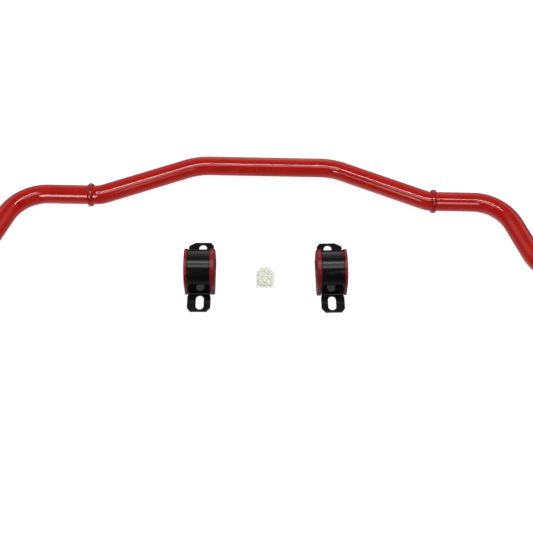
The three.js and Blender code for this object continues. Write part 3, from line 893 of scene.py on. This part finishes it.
def softbox(name, location, target, size, radiance, glossy=True, diffuse=True, spread=180, lit=None):
    """A rectangular area light of a given brightness, facing its target; in metres from the bar's axis.

    A spread below 180 degrees is a honeycomb grid in front of it. It lights only the collection lit,
    where one is given.
    """
    light = bpy.data.lights.new(name, "AREA")
    light.shape = "RECTANGLE"
    light.size, light.size_y = size
    light.energy = radiance * math.pi * size[0] * size[1]
    if spread < 180:
        # A grid keeps the light's power and so brightens its axis; that is taken off again.
        half = math.radians(spread / 2)
        light.spread = 2 * half
        light.energy *= 1 - half / math.tan(half)
    obj = bpy.data.objects.new(name, light)
    obj.location = Vector(location) + BAR_AXIS
    obj.rotation_euler = (Vector(target) + BAR_AXIS - obj.location).to_track_quat("-Z", "Y").to_euler()
    obj.visible_glossy = glossy
    obj.visible_diffuse = diffuse
    obj.visible_camera = False
    if lit:
        obj.light_linking.receiver_collection = lit
    bpy.context.scene.collection.objects.link(obj)


def overhead(name, location, size, radiance, lit):
    """A softbox that faces straight down."""
    softbox(name, location, (location[0], location[1], 0), size, radiance, lit=lit)


def studio_world():
    """Pale to the camera. To the gloss: a bright wall behind, pale sides, a lit table in front."""
    world = bpy.data.worlds.new("studio")
    world.use_nodes = True
    nodes, links = world.node_tree.nodes, world.node_tree.links

    def calculate(operation, a, b, clamp=False):
        node = nodes.new("ShaderNodeMath")
        node.operation = operation
        node.use_clamp = clamp
        for socket, value in zip(node.inputs, (a, b)):
            if isinstance(value, (int, float)):
                socket.default_value = value
            else:
                links.new(value, socket)
        return node.outputs["Value"]

    def add(a, b, clamp=False):
        return calculate("ADD", a, b, clamp)

    def times(a, b, clamp=False):
        return calculate("MULTIPLY", a, b, clamp)

    def minus(a, b, clamp=False):
        return calculate("SUBTRACT", a, b, clamp)

    place = nodes.new("ShaderNodeTexCoord")
    split = nodes.new("ShaderNodeSeparateXYZ")
    links.new(place.outputs["Generated"], split.inputs["Vector"])
    x, y, z = (split.outputs[axis] for axis in "XYZ")
    backward = calculate("MAXIMUM", y, 0.0)
    sideways = calculate("ABSOLUTE", x, 0.0)
    downward = calculate("MAXIMUM", times(z, -1.0), 0.0)

    # The wall behind, brightest in its middle.
    middle = minus(1.0, times(sideways, 4.0), True)
    wall = times(calculate("POWER", backward, 4.0), add(times(middle, 0.70), 0.45))
    wall = times(wall, minus(1.0, times(downward, 3.0), True))
    # Pale side walls, seen only by the arms.
    side = times(minus(sideways, 0.3), 3.0, True)
    side = times(side, times(add(y, 0.25), 2.0, True))
    side = times(side, times(z, 2.0, True))
    # The table in front, brighter to the left.
    leftward = calculate("MINIMUM", calculate("MAXIMUM", times(x, -4.0), 0.0), 1.0)
    aside = calculate("MINIMUM", times(sideways, 2.0), 0.4)
    table = times(calculate("POWER", downward, 1.3), times(add(add(leftward, aside), 1.0), 0.40))
    in_front = minus(1.0, times(backward, 2.5), True)
    table = times(table, add(times(in_front, 0.9), 0.1))

    surroundings = add(add(add(wall, times(side, 0.9)), table), 0.03)
    path = nodes.new("ShaderNodeLightPath")
    strength = calculate("MAXIMUM", surroundings, path.outputs["Is Camera Ray"])
    links.new(strength, nodes["Background"].inputs["Strength"])
    nodes["Background"].inputs["Color"].default_value = (1, 1, 1, 1)
    bpy.context.scene.world = world


def make_camera():
    """Looks down at the bar from in front, 1.5 m up. In metres from the bar's axis."""
    camera = bpy.data.cameras.new("camera")
    camera.sensor_width = 36
    camera.lens = 72.54
    camera.clip_start = 0.05
    camera.clip_end = 50
    obj = bpy.data.objects.new("camera", camera)
    obj.location = Vector((0.0344, -1.0083, 1.5355)) + BAR_AXIS
    target = Vector((0.0140, -0.1220, 0)) + BAR_AXIS
    obj.rotation_euler = (target - obj.location).to_track_quat("-Z", "Y").to_euler()
    bpy.context.scene.collection.objects.link(obj)
    bpy.context.scene.camera = obj


make_floor()
studio_world()
make_camera()
# The bar was lit from high up, the brackets and the sachet from close above them. Each set is a wide
# box between two narrow, brighter tubes, which draw the bright lines along the bar and the straps.
overhead("bar_overhead", (0.05, -0.66, 2.40), (1.22, 1.00), 1.2, bar_pieces)
overhead("bar_tube_back", (0.17, -0.17, 2.38), (1.46, 0.12), 27.0, bar_pieces)
overhead("bar_tube_front", (0.05, -1.04, 2.38), (1.22, 0.24), 4.2, bar_pieces)
overhead("kit_overhead", (0.125, -0.167, 0.60), (1.05, 0.46), 1.4, kit_pieces)
overhead("kit_tube_back", (0.125, -0.066, 0.58), (1.05, 0.07), 3.8, kit_pieces)
overhead("kit_tube_front", (0.125, -0.285, 0.58), (1.05, 0.07), 2.1, kit_pieces)
# Two gridded boxes in front that only the gloss shows, along the outboard stretches.
softbox("left_front", (-0.56, -1.17, 0.89), (-0.36, 0, 0), (0.46, 0.54), 12.5, diffuse=False, spread=44)
softbox("right_front", (0.55, -1.17, 0.95), (0.38, 0, 0), (0.40, 0.60), 5.2, diffuse=False, spread=44)
# Two fills that the gloss doesn't show: one from behind for everything, one in front for the bar.
softbox("fill", (0, 1.53, 2.2), (0, -0.07, 0), (4.0, 4.0), 1.1, glossy=False)
softbox("front_fill", (0, -2.2, 0.7), (0, 0, 0), (3.6, 1.2), 1.5, glossy=False, lit=bar_pieces)
bpy.context.scene.view_settings.view_transform = "Standard"
